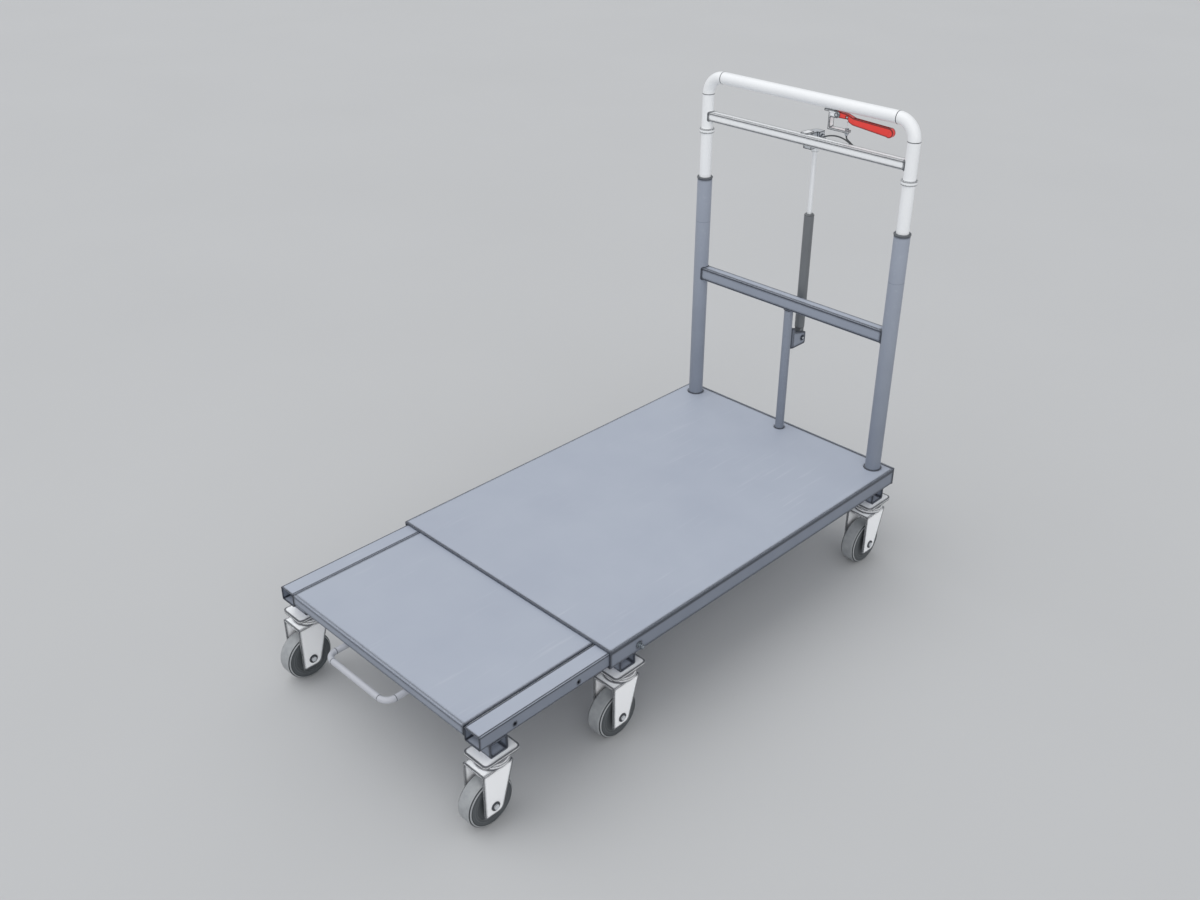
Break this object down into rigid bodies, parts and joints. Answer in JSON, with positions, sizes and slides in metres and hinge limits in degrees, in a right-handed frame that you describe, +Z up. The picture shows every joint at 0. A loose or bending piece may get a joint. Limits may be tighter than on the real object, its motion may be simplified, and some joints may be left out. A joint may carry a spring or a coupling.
{
  "type": "expandable platform cart",
  "caption": "Flat platform cart on swivel casters with a sliding deck extension, a pull rod and a height-adjustable push handle released by a lever and gas spring.",
  "frame": {"origin": "on the floor, under the middle of the whole cart with its extension drawn out", "axes": "+X to the right seen from the pull handle, +Y from the pull handle to the push handle, +Z up"},
  "size_m": [0.6218, 1.28, 1.008],
  "materials": {
    "deck_paint": "satin powder coat",
    "white_coat": "gloss powder coat",
    "bush_plastic": "moulded",
    "spring_steel": "ground and plated",
    "cylinder_black": "satin paint",
    "zinc_fittings": "zinc plated",
    "lever_red": "gloss coat",
    "cable_black": "extruded sheath",
    "tread_grey": "moulded tread",
    "wheel_plastic": "moulded"
  },
  "bodies": {
    "chassis": {"main_deck_plate": "deck_paint", "rear_end_plate": "deck_paint", "left_side_angle": "deck_paint", "right_side_angle": "deck_paint", "main_risers": "deck_paint", "main_caster_plates": "white_coat", "left_post": "deck_paint", "right_post": "deck_paint", "post_bushes": "bush_plastic", "lower_crossbar": "deck_paint", "centre_strut": "deck_paint", "spring_clevis": "deck_paint", "clevis_pin": "zinc_fittings", "gas_cylinder": "cylinder_black", "lock_bushes": "zinc_fittings"},
    "extension": {"left_rail": "deck_paint", "right_rail": "deck_paint", "extension_deck": "deck_paint", "extension_ties": "deck_paint", "pull_handle": "deck_paint", "front_risers": "deck_paint", "front_caster_plates": "white_coat"},
    "push_handle": {"hoop": "white_coat", "stop_collars": "white_coat", "upper_crossbar": "white_coat", "spring_tab": "white_coat", "gas_rod": "spring_steel", "release_head": "zinc_fittings", "lever_bracket": "white_coat", "lever_pin": "zinc_fittings", "cable_end": "zinc_fittings", "cable_sheath": "cable_black"},
    "lever": {"release_lever": "lever_red"},
    "wire": {"release_wire": "spring_steel"},
    "left_lock": {"left_lock_pin": "zinc_fittings"},
    "right_lock": {"right_lock_pin": "zinc_fittings"},
    "front_left_swivel": {"front_left_fork": "white_coat", "front_left_axle": "zinc_fittings"},
    "front_left_wheel": {"front_left_tyre": "tread_grey", "front_left_wheel_centre": "wheel_plastic"},
    "front_right_swivel": {"front_right_fork": "white_coat", "front_right_axle": "zinc_fittings"},
    "front_right_wheel": {"front_right_tyre": "tread_grey", "front_right_wheel_centre": "wheel_plastic"},
    "mid_left_swivel": {"mid_left_fork": "white_coat", "mid_left_axle": "zinc_fittings"},
    "mid_left_wheel": {"mid_left_tyre": "tread_grey", "mid_left_wheel_centre": "wheel_plastic"},
    "mid_right_swivel": {"mid_right_fork": "white_coat", "mid_right_axle": "zinc_fittings"},
    "mid_right_wheel": {"mid_right_tyre": "tread_grey", "mid_right_wheel_centre": "wheel_plastic"},
    "rear_left_swivel": {"rear_left_fork": "white_coat", "rear_left_axle": "zinc_fittings"},
    "rear_left_wheel": {"rear_left_tyre": "tread_grey", "rear_left_wheel_centre": "wheel_plastic"},
    "rear_right_swivel": {"rear_right_fork": "white_coat", "rear_right_axle": "zinc_fittings"},
    "rear_right_wheel": {"rear_right_tyre": "tread_grey", "rear_right_wheel_centre": "wheel_plastic"}
  },
  "joints": [
    {"name": "extension_slide", "type": "slide", "parent": "chassis", "child": "extension", "axis": [0, 1, 0], "range_m": [0, 0.15]},
    {"name": "handle_slide", "type": "slide", "parent": "chassis", "child": "push_handle", "axis": [0, 0, 1], "range_m": [-0.1, 0]},
    {"name": "lever_pivot", "type": "hinge", "parent": "push_handle", "child": "lever", "pos_m": [0.0825, 0.5825, 0.9745], "axis": [0, -1, 0], "range_deg": [0, 5], "stiffness_Nm_per_rad": 2},
    {"name": "wire_pull", "type": "slide", "parent": "push_handle", "child": "wire", "axis": [0, 0, 1], "range_m": [0, 0.003]},
    {"name": "left_lock_slide", "type": "slide", "parent": "chassis", "child": "left_lock", "axis": [1, 0, 0], "range_m": [0, 0.004]},
    {"name": "right_lock_slide", "type": "slide", "parent": "chassis", "child": "right_lock", "axis": [-1, 0, 0], "range_m": [0, 0.004]},
    {"name": "front_left_swivel_turn", "type": "hinge", "parent": "extension", "child": "front_left_swivel", "pos_m": [-0.276, -0.5535, 0], "axis": [0, 0, 1], "continuous": true},
    {"name": "front_left_wheel_spin", "type": "hinge", "parent": "front_left_swivel", "child": "front_left_wheel", "pos_m": [-0.276, -0.5739, 0.05], "axis": [1, 0, 0], "continuous": true},
    {"name": "front_right_swivel_turn", "type": "hinge", "parent": "extension", "child": "front_right_swivel", "pos_m": [0.276, -0.5535, 0], "axis": [0, 0, 1], "continuous": true},
    {"name": "front_right_wheel_spin", "type": "hinge", "parent": "front_right_swivel", "child": "front_right_wheel", "pos_m": [0.276, -0.5739, 0.05], "axis": [1, 0, 0], "continuous": true},
    {"name": "mid_left_swivel_turn", "type": "hinge", "parent": "chassis", "child": "mid_left_swivel", "pos_m": [-0.276, -0.2415, 0], "axis": [0, 0, 1], "continuous": true},
    {"name": "mid_left_wheel_spin", "type": "hinge", "parent": "mid_left_swivel", "child": "mid_left_wheel", "pos_m": [-0.276, -0.2619, 0.05], "axis": [1, 0, 0], "continuous": true},
    {"name": "mid_right_swivel_turn", "type": "hinge", "parent": "chassis", "child": "mid_right_swivel", "pos_m": [0.276, -0.2415, 0], "axis": [0, 0, 1], "continuous": true},
    {"name": "mid_right_wheel_spin", "type": "hinge", "parent": "mid_right_swivel", "child": "mid_right_wheel", "pos_m": [0.276, -0.2619, 0.05], "axis": [1, 0, 0], "continuous": true},
    {"name": "rear_left_swivel_turn", "type": "hinge", "parent": "chassis", "child": "rear_left_swivel", "pos_m": [-0.276, 0.5635, 0], "axis": [0, 0, 1], "continuous": true},
    {"name": "rear_left_wheel_spin", "type": "hinge", "parent": "rear_left_swivel", "child": "rear_left_wheel", "pos_m": [-0.276, 0.5431, 0.05], "axis": [1, 0, 0], "continuous": true},
    {"name": "rear_right_swivel_turn", "type": "hinge", "parent": "chassis", "child": "rear_right_swivel", "pos_m": [0.276, 0.5635, 0], "axis": [0, 0, 1], "continuous": true},
    {"name": "rear_right_wheel_spin", "type": "hinge", "parent": "rear_right_swivel", "child": "rear_right_wheel", "pos_m": [0.276, 0.5431, 0.05], "axis": [1, 0, 0], "continuous": true}
  ],
  "couplings": [
    {"joint": "wire_pull", "follows": "lever_pivot", "m_per_rad": 0.023}
  ]
}
